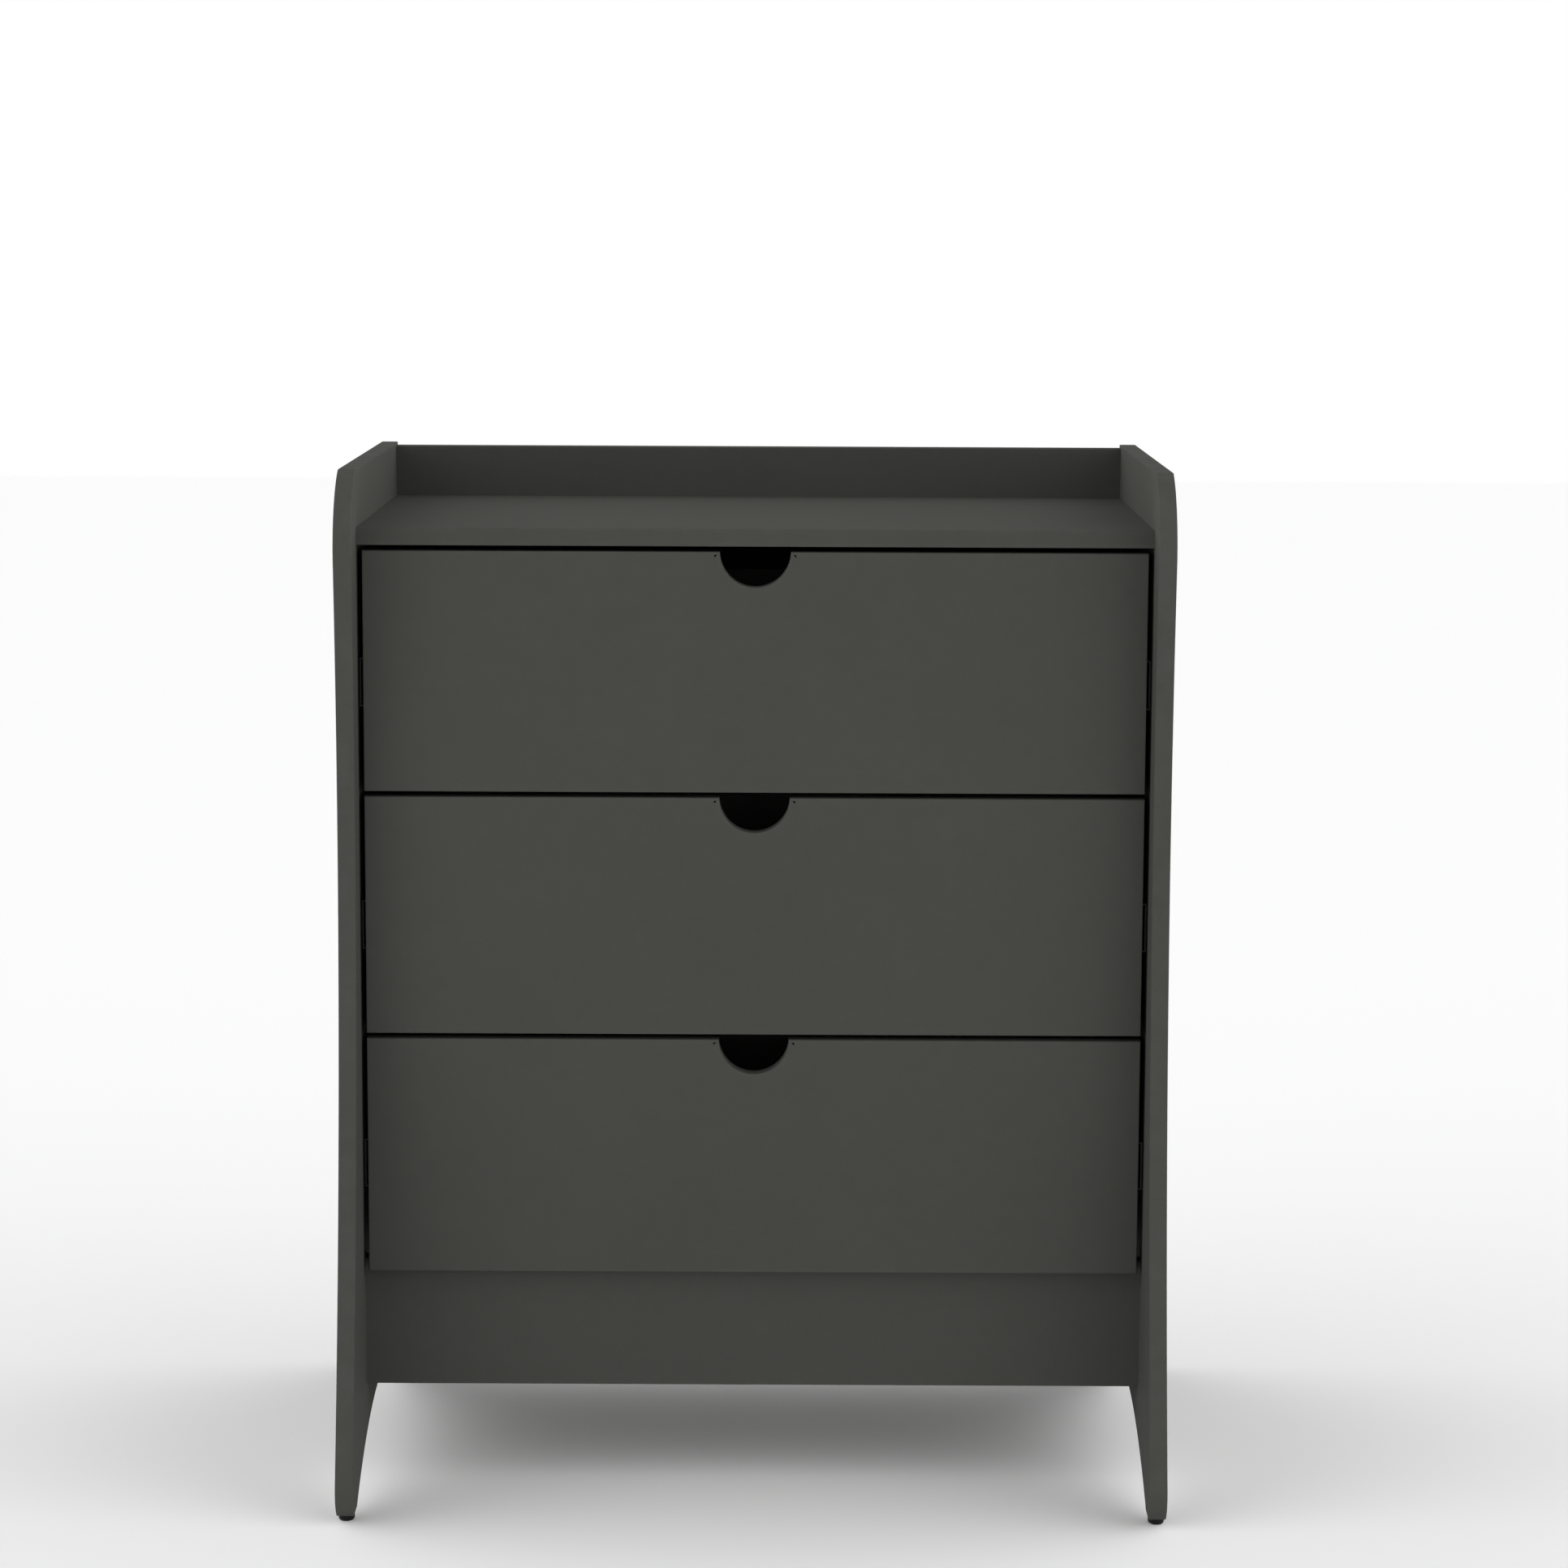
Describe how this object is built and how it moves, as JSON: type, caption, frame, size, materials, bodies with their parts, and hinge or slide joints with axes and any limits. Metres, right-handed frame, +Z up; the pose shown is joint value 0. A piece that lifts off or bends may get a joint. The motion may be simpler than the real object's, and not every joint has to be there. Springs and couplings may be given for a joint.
{
  "type": "tall nightstand with drawers",
  "caption": "Tall bedside chest with stacked handle-less drawers on telescopic slides between shaped side panels that form the legs, with a raised rim around the top.",
  "frame": {"origin": "on the floor, under the centre of the overall box", "axes": "+X to the right, -Y to the front that the drawers open towards, +Z up"},
  "size_m": [0.75, 0.48, 0.947],
  "materials": {
    "lacquered_board": "smooth matt dark olive-grey lacquer on fibreboard",
    "lacquered_sheet": "matt dark grey lacquered thin hardboard",
    "box_board": "matt light grey melamine on particle board",
    "box_sheet": "light grey painted thin hardboard",
    "slide_steel": "black dip-painted sheet steel",
    "zinc_plated_steel": "zinc-plated turned steel",
    "zinc_casting": "dull die-cast zinc",
    "beech_dowel": "raw turned beech",
    "glide_plastic": "black moulded plastic"
  },
  "bodies": {
    "carcass": {"side_panel_left": "lacquered_board", "side_panel_right": "lacquered_board", "top_board": "lacquered_board", "back_rail": "lacquered_board", "apron": "lacquered_board", "rear_stretcher": "lacquered_board", "back_panel": "lacquered_sheet", "carcass_cams": "zinc_casting", "carcass_cam_bolts": "zinc_plated_steel", "carcass_dowels": "beech_dowel", "glide_front_left": "glide_plastic", "glide_front_right": "glide_plastic", "glide_rear_left": "glide_plastic", "glide_rear_right": "glide_plastic", "glide_stems": "zinc_plated_steel", "slide_screws_cabinet": "zinc_plated_steel", "slide_outer_1": "slide_steel", "slide_outer_2": "slide_steel", "slide_outer_3": "slide_steel"},
    "lower_drawer": {"drawer_front_1": "lacquered_board", "drawer_side_left_1": "box_board", "drawer_side_right_1": "box_board", "drawer_back_1": "box_board", "drawer_bottom_1": "box_sheet", "drawer_cams_1": "zinc_casting", "drawer_cam_bolts_1": "zinc_plated_steel", "drawer_back_screws_1": "zinc_plated_steel", "slide_inner_1": "slide_steel", "slide_screws_drawer_1": "zinc_plated_steel"},
    "lower_slide_middle": {"slide_middle_1": "slide_steel", "slide_cages_1": "slide_steel"},
    "middle_drawer": {"drawer_front_2": "lacquered_board", "drawer_side_left_2": "box_board", "drawer_side_right_2": "box_board", "drawer_back_2": "box_board", "drawer_bottom_2": "box_sheet", "drawer_cams_2": "zinc_casting", "drawer_cam_bolts_2": "zinc_plated_steel", "drawer_back_screws_2": "zinc_plated_steel", "slide_inner_2": "slide_steel", "slide_screws_drawer_2": "zinc_plated_steel"},
    "middle_slide_middle": {"slide_middle_2": "slide_steel", "slide_cages_2": "slide_steel"},
    "upper_drawer": {"drawer_front_3": "lacquered_board", "drawer_side_left_3": "box_board", "drawer_side_right_3": "box_board", "drawer_back_3": "box_board", "drawer_bottom_3": "box_sheet", "drawer_cams_3": "zinc_casting", "drawer_cam_bolts_3": "zinc_plated_steel", "drawer_back_screws_3": "zinc_plated_steel", "slide_inner_3": "slide_steel", "slide_screws_drawer_3": "zinc_plated_steel"},
    "upper_slide_middle": {"slide_middle_3": "slide_steel", "slide_cages_3": "slide_steel"}
  },
  "joints": [
    {"name": "lower_drawer_slide", "type": "slide", "parent": "carcass", "child": "lower_drawer", "axis": [0, -1, 0], "range_m": [0, 0.3]},
    {"name": "lower_runner_slide", "type": "slide", "parent": "carcass", "child": "lower_slide_middle", "axis": [0, -1, 0], "range_m": [0, 0.15]},
    {"name": "middle_drawer_slide", "type": "slide", "parent": "carcass", "child": "middle_drawer", "axis": [0, -1, 0], "range_m": [0, 0.3]},
    {"name": "middle_runner_slide", "type": "slide", "parent": "carcass", "child": "middle_slide_middle", "axis": [0, -1, 0], "range_m": [0, 0.15]},
    {"name": "upper_drawer_slide", "type": "slide", "parent": "carcass", "child": "upper_drawer", "axis": [0, -1, 0], "range_m": [0, 0.3]},
    {"name": "upper_runner_slide", "type": "slide", "parent": "carcass", "child": "upper_slide_middle", "axis": [0, -1, 0], "range_m": [0, 0.15]}
  ],
  "couplings": [
    {"joint": "lower_runner_slide", "follows": "lower_drawer_slide", "ratio": 0.5},
    {"joint": "middle_runner_slide", "follows": "middle_drawer_slide", "ratio": 0.5},
    {"joint": "upper_runner_slide", "follows": "upper_drawer_slide", "ratio": 0.5}
  ]
}
